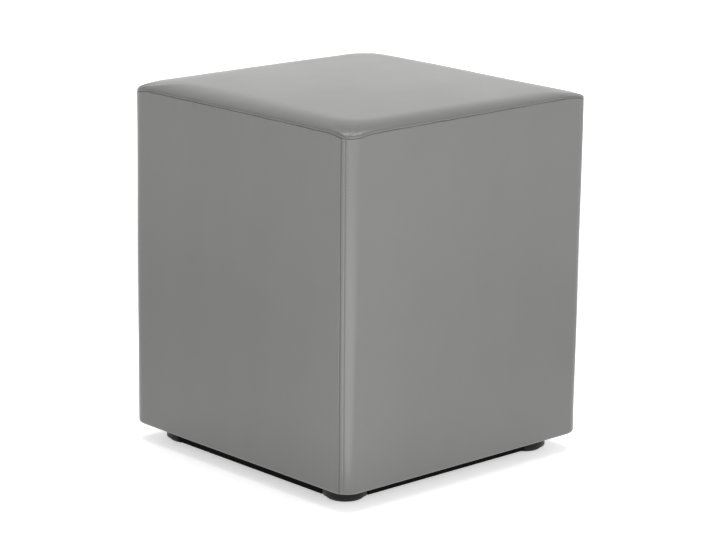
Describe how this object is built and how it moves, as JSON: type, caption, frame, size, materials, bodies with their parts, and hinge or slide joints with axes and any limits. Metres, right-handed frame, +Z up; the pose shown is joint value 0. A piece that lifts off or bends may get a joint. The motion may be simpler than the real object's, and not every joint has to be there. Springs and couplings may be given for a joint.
{
  "type": "cube pouf stool",
  "caption": "Cube pouf stool: a square upholstered leatherette seat with sewn panels and a crowned top, on a recessed black base with round glides.",
  "frame": {"origin": "on the floor, under the middle of the body", "axes": "+Z up; -Y is the front; the sides face along X and Y"},
  "size_m": [0.4028, 0.4028, 0.4596],
  "materials": {
    "leatherette": "smooth grey leatherette with a fine grain and a soft satin sheen",
    "black_board": "matt black painted board",
    "glide_plastic": "moulded charcoal plastic, finely textured"
  },
  "bodies": {
    "root": {"top_panel": "leatherette", "side_panel_front": "leatherette", "side_panel_right": "leatherette", "side_panel_back": "leatherette", "side_panel_left": "leatherette", "base_board": "black_board", "glide_front_left": "glide_plastic", "glide_front_right": "glide_plastic", "glide_back_right": "glide_plastic", "glide_back_left": "glide_plastic"}
  },
  "joints": []
}
